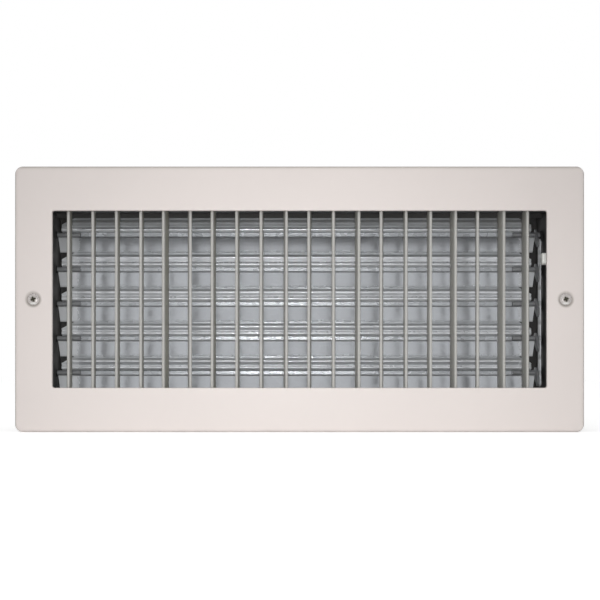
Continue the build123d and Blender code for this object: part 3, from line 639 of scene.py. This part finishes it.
# %% [markdown]
# Screws, pins, cranks and rivets are zinc plated. The coat is the crystals' small cousin: the grains are
# half a millimetre across, so they show only as a satin shimmer. One material does for all of them, and the
# depth tells them apart: what sits deep in the neck has painted shade, so the plating is dark and dull
# there. The screw heads have a painted highlight below the recess, and painted shade fills the recess
# itself and spreads round it.

# %% Painted shade and highlight on the screw heads
HEADS_BEFORE = -25 * MM
RECESS_REACH, RECESS_CORE = 2.6 * MM, 1.5 * MM
RECESS_EDGE = 0.9
SUNK_FROM, SUNK_FULL = 0.35 * MM, 0.8 * MM
SHADE_ROUND_SHARE = 0.75
HIGHLIGHT_LOW, HIGHLIGHT_HIGH, HIGHLIGHT_UP_EDGE = -4.3 * MM, -2.2 * MM, 0.9 * MM
HIGHLIGHT_HALF, HIGHLIGHT_SIDE_EDGE = 3.2 * MM, 2.0 * MM


def head_marks(tree, depth, parts):
    """Masks of the painted shade in and round the recess and of the painted highlight below it. Both count only
    on the heads, which lie in front of every other plated piece."""
    on_head = calculate(tree, "LESS_THAN", depth, HEADS_BEFORE)
    from_axis = screw_distance(tree, parts)
    # Painted shade in the recess and round it.
    in_reach = stretch(tree, from_axis, RECESS_EDGE * RECESS_REACH, RECESS_REACH, 1.0, 0.0)
    shade_round_recess = stretch(tree, from_axis, RECESS_CORE, RECESS_REACH, SHADE_ROUND_SHARE, 0.0)
    sunk = stretch(tree, parts["Y"], screw_low.y + SUNK_FROM, screw_low.y + SUNK_FULL)
    recess_shade = strongest(tree, calculate(tree, "MULTIPLY", in_reach, sunk), shade_round_recess)
    # Painted highlight: a paler patch on each head below its recess.
    low_stripe = band(tree, parts["Z"], HIGHLIGHT_LOW, HIGHLIGHT_HIGH, HIGHLIGHT_UP_EDGE)
    near_axis = band(tree, beside_screw(tree, parts), -HIGHLIGHT_HALF, HIGHLIGHT_HALF, HIGHLIGHT_SIDE_EDGE)
    painted_highlight = calculate(tree, "MULTIPLY", low_stripe, near_axis)
    return calculate(tree, "MULTIPLY", recess_shade, on_head), calculate(tree, "MULTIPLY", painted_highlight, on_head)


print("screw heads start at y =", round(screw_low.y / MM, 2), "mm")

# %% [markdown]
# The plating's colour goes through three blends: a painted highlight, then painted shade by its place in
# the neck, then painted shade in the recess. Where shade is painted the plating is also less metallic and
# rougher.

# %% Zinc plating
PLATE_COLOUR = (0.480, 0.450, 0.435, 1)
# The next three colours are painted: a highlight on the screw heads, shade deep in the neck and shade in the
# recesses.
PLATE_HIGHLIGHT = (0.690, 0.680, 0.660, 1)
PLATE_DEEP_SHADE = (0.250, 0.262, 0.275, 1)
RECESS_SHADE = (0.075, 0.070, 0.045, 1)
DULL_AT, DULL_SHARE = -12 * MM, 0.85
PLATE_METAL, SHADE_METAL, SHADE_DULLS = 0.95, -0.6, 0.3

zinc, tree, shader = start_material("zinc_plate", IOR=1.5)
metal = use_group(tree, crystals, Colour=PLATE_COLOUR, Crystal_Size=0.5 * MM, Contrast=0.25, Roughness=0.34,
                  Relief=0.15)
depth = use_group(tree, section_place)["Depth"]
# Painted shade: the plating is darker and duller the deeper it sits in the neck.
inside = stretch(tree, depth, HEADS_BEFORE, DULL_AT, 0.0, DULL_SHARE)
recess_shade, painted_highlight = head_marks(tree, depth, split(tree, object_place(tree)))
# Painted highlight below each recess; painted shade deep in the neck and in and round each recess.
highlighted = blend_colours(tree, painted_highlight, metal["Colour"], PLATE_HIGHLIGHT)
dull = blend_colours(tree, inside, highlighted, PLATE_DEEP_SHADE)
shaded = blend_colours(tree, recess_shade, dull, RECESS_SHADE)
painted_marks = strongest(tree, inside, recess_shade)
metallic = calculate(tree, "MULTIPLY_ADD", painted_marks, SHADE_METAL, PLATE_METAL)
roughness = calculate(tree, "MULTIPLY_ADD", painted_marks, SHADE_DULLS, metal["Roughness"], clamp=True)
link_finish(tree, shader, Base_Color=shaded, Metallic=metallic, Roughness=roughness, Normal=metal["Normal"])
print("material:", zinc.name)

# %% [markdown]
# The lever's tip is natural nylon, which is white. The bearing strips and the damper's bushes are the same
# plastic filled with black. Moulded nylon has a faint matt skin. The white kind also lets a little light
# in, but the tip is so small that a plain surface looks the same, and it exports without loss.

# %% Nylon, white and black
WHITE_NYLON_COLOUR = (0.80, 0.80, 0.76, 1)
BLACK_NYLON_COLOUR = (0.018, 0.018, 0.018, 1)
NYLON_DUST = (0.15, 0.145, 0.135, 1)

white_nylon, tree, shader = start_material("white_nylon", IOR=1.53)
skin = use_group(tree, paint_skin, Colour=WHITE_NYLON_COLOUR, Drift=0.04, Peel_Size=0.5 * MM,
                 Peel_Depth=0.15, Roughness=0.38)
link_finish(tree, shader, Base_Color=skin["Colour"], Roughness=skin["Roughness"], Normal=skin["Normal"])

black_nylon, tree, shader = start_material("black_nylon", IOR=1.53)
skin = use_group(tree, paint_skin, Colour=BLACK_NYLON_COLOUR, Drift=0.3, Peel_Size=0.5 * MM,
                 Peel_Depth=0.2, Roughness=0.5)
dusty = use_group(tree, dust, Colour=skin["Colour"], Dust_Colour=NYLON_DUST, On_Ledges=0.4, Film=0.03,
                  Roughness=skin["Roughness"])
link_finish(tree, shader, Base_Color=dusty["Colour"], Roughness=dusty["Roughness"], Normal=skin["Normal"])
print("materials:", white_nylon.name, black_nylon.name)

# %% [markdown]
# The record says which finish each CAD node has, so one loop dresses them all. Each finish has the name
# of its slot there, so nothing has to be said twice.

# %% Dress the CAD nodes
FINISHES = {m.name: m for m in (face_paint, blade_paint, galvanised, neck_black, zinc, white_nylon,
                                black_nylon)}
for subpart in frame["record"]["subparts"]:
    mesh = nodes[subpart["node"]].data
    mesh.materials.clear()
    mesh.materials.append(FINISHES[subpart["material_slot"]])

# %% [markdown]
# New pieces are surfaces worked out on a grid of rings: each row of the grid is one ring of points, and
# quads join it to the next row. Where a ring shrinks to a point, as at a screw's tip, its equal points
# are merged, which shuts the surface there, and then the faces are turned to point outwards.

# %% Grid surface helpers
MERGE_WITHIN = 0.001 * MM


def ring_faces(rows, columns):
    """Quads between neighbouring points of rings stored row by row, the last column joined to the first."""
    index = np.arange(rows * columns).reshape(rows, columns)
    index = np.concatenate([index, index[:, :1]], axis=1)
    corners = (index[:-1, :-1], index[:-1, 1:], index[1:, 1:], index[1:, :-1])
    return np.stack(corners, axis=-1).reshape(-1, 4)


def close_and_turn(mesh):
    """Merges equal points and turns the faces outwards."""
    merged = bmesh.new()
    merged.from_mesh(mesh)
    bmesh.ops.remove_doubles(merged, verts=merged.verts, dist=MERGE_WITHIN)
    bmesh.ops.recalc_face_normals(merged, faces=merged.faces)
    merged.to_mesh(mesh)
    merged.free()


def surface(name, points, faces, body, material):
    """A smooth mesh object from an array of points and an array of quads, riding on a body."""
    mesh = bpy.data.meshes.new(name)
    mesh.from_pydata(points.tolist(), [], faces.tolist())
    close_and_turn(mesh)
    mesh.polygons.foreach_set("use_smooth", np.full(len(mesh.polygons), True))
    mesh.materials.append(material)
    mesh.validate()
    mesh.update()
    piece = bpy.data.objects.new(name, mesh)
    bpy.context.scene.collection.objects.link(piece)
    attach(piece, body)
    return piece


# %% [markdown]
# The fixing screws have raised countersunk heads and, in the wall, a coarse thread. The CAD model gives
# them a plain shank, because a thread there would only slow it down. Here the whole screw is one surface
# of revolution whose radius also depends on the angle round it. Its outline comes first: a dome, a cone,
# a shoulder through the plate and a shank that narrows to its tip.

# %% Screw outline
HEAD_DOME = 1.3 * MM
SHOULDER_RADIUS = 2.3 * MM
THREAD_PITCH = 1.8 * MM
TIP_LENGTH = 4.0 * MM
HEAD_ROWS = 44
CONE_ROWS = 10
SHANK_ROWS = 260


def screw_profile():
    """Radius, depth, share of thread and taper along the screw. Depth runs along +Y from the head's top.
    Dome: depth = R - root(R squared - r squared), with R from the head's radius and the dome's height."""
    dome_radius = (SCREW_HEAD_RADIUS**2 + HEAD_DOME**2) / (2 * HEAD_DOME)
    dome_r = np.linspace(0.0, SCREW_HEAD_RADIUS, HEAD_ROWS)
    dome_y = dome_radius - np.sqrt(dome_radius**2 - dome_r**2)
    cone_r = np.linspace(SCREW_HEAD_RADIUS, SHOULDER_RADIUS, CONE_ROWS)[1:]
    cone_y = HEAD_DOME + SCREW_HEAD_RADIUS - cone_r
    length = screw_high.y - screw_low.y
    shank_y = np.linspace(cone_y[-1], length, SHANK_ROWS)[1:]
    plain_rows = len(dome_r) + len(cone_r)
    threaded = np.clip((shank_y + screw_low.y) / THREAD_PITCH, 0.0, 1.0)
    taper = np.clip((length - shank_y) / TIP_LENGTH, 0.0, 1.0)
    radius = np.concatenate([dome_r, cone_r, np.full(len(shank_y), SHOULDER_RADIUS)])
    depth = np.concatenate([dome_y, cone_y, shank_y])
    return (radius, depth, np.concatenate([np.zeros(plain_rows), threaded]),
            np.concatenate([np.ones(plain_rows), taper]))


radii, depths, thread_share, tapers = screw_profile()
print("screw outline:", len(radii), "rows over", round(depths[-1] / MM, 1), "mm")

# %% [markdown]
# Along the shank the radius rises and falls with the thread's phase, which grows by one with each pitch of
# depth and falls by one with each full turn round the screw. On the head the surface is pressed in along
# two crossed bars, which gives the recess its tapered walls. The recess could be cut out with a second
# solid instead, but that would leave long thin faces on the dome.

# %% Screw thread and recess
THREAD_CREST = 2.35 * MM
THREAD_ROOT = 1.75 * MM
RECESS_SPAN, RECESS_WIDTH, RECESS_DEPTH = 4.6 * MM, 1.0 * MM, 1.7 * MM
RECESS_TURN = math.radians(20)
BAR_WALL = 0.3
BAR_END = 0.35
BAR_END_POWER = 0.6
AROUND = 96


def recess_share(across, up):
    """How deep the head is pressed in, from 0 to 1: the larger of two crossed bars, each a clipped ramp
    beside the bar times a clipped ramp along it to a power under 1."""
    turned_across = across * np.cos(RECESS_TURN) + up * np.sin(RECESS_TURN)
    turned_up = up * np.cos(RECESS_TURN) - across * np.sin(RECESS_TURN)
    pressed = np.zeros_like(across)
    for along, beside in ((turned_across, turned_up), (turned_up, turned_across)):
        in_bar = np.clip((RECESS_WIDTH / 2 - np.abs(beside)) / (BAR_WALL * RECESS_WIDTH), 0, 1)
        in_span = np.clip((RECESS_SPAN / 2 - np.abs(along)) / (BAR_END * RECESS_SPAN), 0, 1)
        pressed = np.maximum(pressed, in_bar * in_span**BAR_END_POWER)
    return pressed


def screw_points(centre_x):
    """Points of one screw. Thread radius = root + (crest - root) * (1 - |saw tooth of the phase|) squared,
    with phase = depth / pitch - angle / full turn."""
    angle = np.linspace(0, 2 * np.pi, AROUND, endpoint=False)
    phase = depths[:, None] / THREAD_PITCH - angle[None, :] / (2 * np.pi)
    tooth = (1 - np.abs(2 * (phase % 1.0) - 1)) ** 2
    thread = THREAD_ROOT + (THREAD_CREST - THREAD_ROOT) * tooth
    share = thread_share[:, None]
    radius = (radii[:, None] * (1 - share) + thread * share) * tapers[:, None]
    across = radius * np.cos(angle)
    up = radius * np.sin(angle)
    on_head = (np.arange(len(radii)) < HEAD_ROWS)[:, None]
    y = screw_low.y + depths[:, None] + RECESS_DEPTH * recess_share(across, up) * on_head
    return np.stack([centre_x + across, y, up], axis=-1).reshape(-1, 3)


left_points, right_points = screw_points(-screw_x), screw_points(screw_x)
left_faces = ring_faces(len(radii), AROUND)
both_points = np.concatenate([left_points, right_points])
both_faces = np.concatenate([left_faces, left_faces + len(left_points)])
screws = surface("threaded_screws", both_points, both_faces, "register", zinc)
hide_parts("fixing_screws")
print("screws:", len(screws.data.polygons), "faces")

# %% [markdown]
# A link bar would slide off its pins if nothing held it. On the real damper each pin's end is peened:
# struck until it spreads into a low button over the bar. A flattened ball would look alike, but half of it
# would be hidden in the bar, so the button is a rounded cap alone, a surface of revolution about the pin's
# axis. It rides on the damper blade whose crank it belongs to. The frame names one pin, the second
# blade's, on which the bar swings. The others lie as far from their own blades' pivots as that one does.

# %% Peened pin ends
BUTTON_RADIUS = 2.3 * MM
BUTTON_HEIGHT = 0.65 * MM
BUTTON_RINGS = 8
BUTTON_AROUND = 36
BUTTON_SEAT = 0.25 * MM
seat_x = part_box("link_bar")[1].x + BUTTON_SEAT


def button_points(pin_y, pin_z):
    """A cap on the plane X = seat_x: distance from the axis = R sin t, rise = H cos t, for t from a
    quarter turn at the rim to 0 at the top."""
    t = np.linspace(np.pi / 2, 0.0, BUTTON_RINGS)[:, None]
    angle = np.linspace(0, 2 * np.pi, BUTTON_AROUND, endpoint=False)[None, :]
    radius = BUTTON_RADIUS * np.sin(t)
    x = seat_x + BUTTON_HEIGHT * np.cos(t) * np.ones_like(angle)
    points = np.stack([x, pin_y + radius * np.cos(angle), pin_z + radius * np.sin(angle)], axis=-1)
    return points.reshape(-1, 3)


button_faces = ring_faces(BUTTON_RINGS, BUTTON_AROUND)
for number in range(1, DAMPERS + 1):
    pin = pivots["link_swing"] - pivots["damper_2_turn"] + pivots[f"damper_{number}_turn"]
    surface(f"pin_button_{number}", button_points(pin.y, pin.z), button_faces, f"damper_{number}", zinc)
print("pin buttons:", DAMPERS, "at x =", round(seat_x / MM, 2), "mm")

# %% [markdown]
# The floor is a pale sheet under the register's lower edge, and round everything is white. White could be
# had with more light, but that would wash out the paint. Instead the world shows white to the camera
# and to mirrors, and gives a weaker light to everything else. The floor has a little light of its own,
# again for the camera and mirrors alone, so that it joins the white without a horizon and still takes a
# shadow. The metal's faces that look down show that floor, which is why they are the bright ones.

# %% Floor
FLOOR_HALF = 3.0
FLOOR_GAP = 0.2 * MM
FLOOR_GLOW = 0.45
FLOOR_COLOUR = (0.9, 0.9, 0.9, 1)
WHITE = (1, 1, 1, 1)


def seen_directly(tree):
    """1 for rays from the camera and for reflected and refracted ones, 0 for the rays that carry light."""
    path = put(tree, "ShaderNodeLightPath").outputs
    seen = calculate(tree, "ADD", path["Is Camera Ray"], path["Is Glossy Ray"], clamp=True)
    return calculate(tree, "ADD", seen, path["Is Transmission Ray"], clamp=True)


def flat_sheet(name, corners, material):
    """One flat face through four corners, with a material."""
    mesh = bpy.data.meshes.new(name)
    mesh.from_pydata(corners, [], [(0, 1, 2, 3)])
    mesh.materials.append(material)
    sheet = bpy.data.objects.new(name, mesh)
    bpy.context.scene.collection.objects.link(sheet)
    return sheet


floor_paint, tree, shader = start_material("floor_white", Roughness=0.9, Base_Color=FLOOR_COLOUR,
                                           Emission_Color=WHITE)
glow = calculate(tree, "MULTIPLY", seen_directly(tree), FLOOR_GLOW)
link_finish(tree, shader, Emission_Strength=glow)
floor_z = face_low.z - FLOOR_GAP
floor_corners = [(x * FLOOR_HALF, y * FLOOR_HALF, floor_z) for x, y in ((-1, -1), (1, -1), (1, 1), (-1, 1))]
floor = flat_sheet("floor", floor_corners, floor_paint)
print("floor at z =", round(floor_z / MM, 1), "mm")

# %% [markdown]
# Behind a real register lies a duct, whose unlit inside shows dark through the slits between damper
# blades. A black card at the neck's rear end is painted shade that stands for it. It has to be there only
# for the camera in front: seen from behind, and for every ray that carries light, it is transparent, so it
# neither hides the back nor casts a shadow.

# %% Painted shade card in the duct
CARD_INSET = 3.0 * MM
DUCT_SHADE_COLOUR = (0.01, 0.01, 0.01, 1)
neck_top_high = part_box("neck_top")[1]

card_y = neck_top_high.y
card_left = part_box("neck_left")[0].x + CARD_INSET
card_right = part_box("neck_right")[1].x - CARD_INSET
card_up = neck_top_high.z - CARD_INSET
# The card is painted shade: a dark sheet, shown to the camera alone, where the duct's inside lies unlit.
duct_shade_paint, tree, shader = start_material("painted_duct_shade", Roughness=0.9, Base_Color=DUCT_SHADE_COLOUR)
from_front = calculate(tree, "SUBTRACT", 1.0, put(tree, "ShaderNodeNewGeometry").outputs["Backfacing"])
by_camera = put(tree, "ShaderNodeLightPath").outputs["Is Camera Ray"]
link_finish(tree, shader, Alpha=calculate(tree, "MULTIPLY", from_front, by_camera))
card_corners = [(card_left, card_y, -card_up), (card_right, card_y, -card_up), (card_right, card_y, card_up),
                (card_left, card_y, card_up)]
card = flat_sheet("painted_duct_shade", card_corners, duct_shade_paint)
print("card faces the camera:", card.data.polygons[0].normal.y < 0)

# %% [markdown]
# The world gives the light that comes from all round. A picture of a room could light the object too, but
# every reflection would then tell of that room. An even white world keeps the metal plain.

# %% World
WORLD_LIGHT = 0.55

world = bpy.data.worlds.new("studio")
bpy.context.scene.world = world
world.use_nodes = True
tree = world.node_tree
background = tree.nodes["Background"]
background.inputs["Color"].default_value = WHITE
strength = calculate(tree, "MULTIPLY_ADD", seen_directly(tree), 1.0 - WORLD_LIGHT, WORLD_LIGHT)
tree.links.new(strength, background.inputs["Strength"])
print("world light:", WORLD_LIGHT)

# %% [markdown]
# Three lamps light the register. A big soft one stands in front, above and a little to the left: it gives
# the blades a light side and a dark side, and the window's upper edge shades the first damper blade. The
# second is the camera's own flash, a spot whose soft-edged beam points low and brightens the plate
# towards its lower middle. Their broad reflections would bleach the metal, so both are kept out of
# reflections. The third, a small and weaker lamp in the flash's place, gives the crests their glints.
# Places and sizes are in metres, powers in watts.

# %% Lamps
MIDDLE = (0, 0, 0)
SOFT_PLACE, SOFT_POWER, SOFT_SIZE = (-0.25, -1.35, 0.85), 4.7, 0.9
FLASH_PLACE, FLASH_AIM = (-0.014, -1.0, -0.03), (0, 0, -0.13)
FLASH_POWER, FLASH_RADIUS, FLASH_BEAM = 16.2, 0.05, math.radians(41)
GLINT_POWER, GLINT_RADIUS = 3.8, 0.02


def add_lamp(kind, name, place, target, power, **settings):
    """A lamp at a place, turned to a target. settings are the lamp's own properties."""
    data = bpy.data.lights.new(name, kind)
    data.energy = power
    for label, value in settings.items():
        setattr(data, label, value)
    lamp = bpy.data.objects.new(name, data)
    lamp.location = place
    lamp.rotation_euler = (Vector(target) - Vector(place)).to_track_quat("-Z", "Y").to_euler()
    bpy.context.scene.collection.objects.link(lamp)
    return lamp


soft_front = add_lamp("AREA", "soft_front", SOFT_PLACE, MIDDLE, SOFT_POWER, shape="SQUARE", size=SOFT_SIZE)
flash = add_lamp("SPOT", "flash", FLASH_PLACE, FLASH_AIM, FLASH_POWER, shadow_soft_size=FLASH_RADIUS,
                 spot_size=FLASH_BEAM, spot_blend=1.0)
for lamp in (soft_front, flash):
    lamp.visible_glossy = False
glint = add_lamp("POINT", "flash_glint", FLASH_PLACE, MIDDLE, GLINT_POWER, shadow_soft_size=GLINT_RADIUS)
bpy.context.scene.view_settings.view_transform = "Standard"
print("lamps:", soft_front.name, flash.name, glint.name)
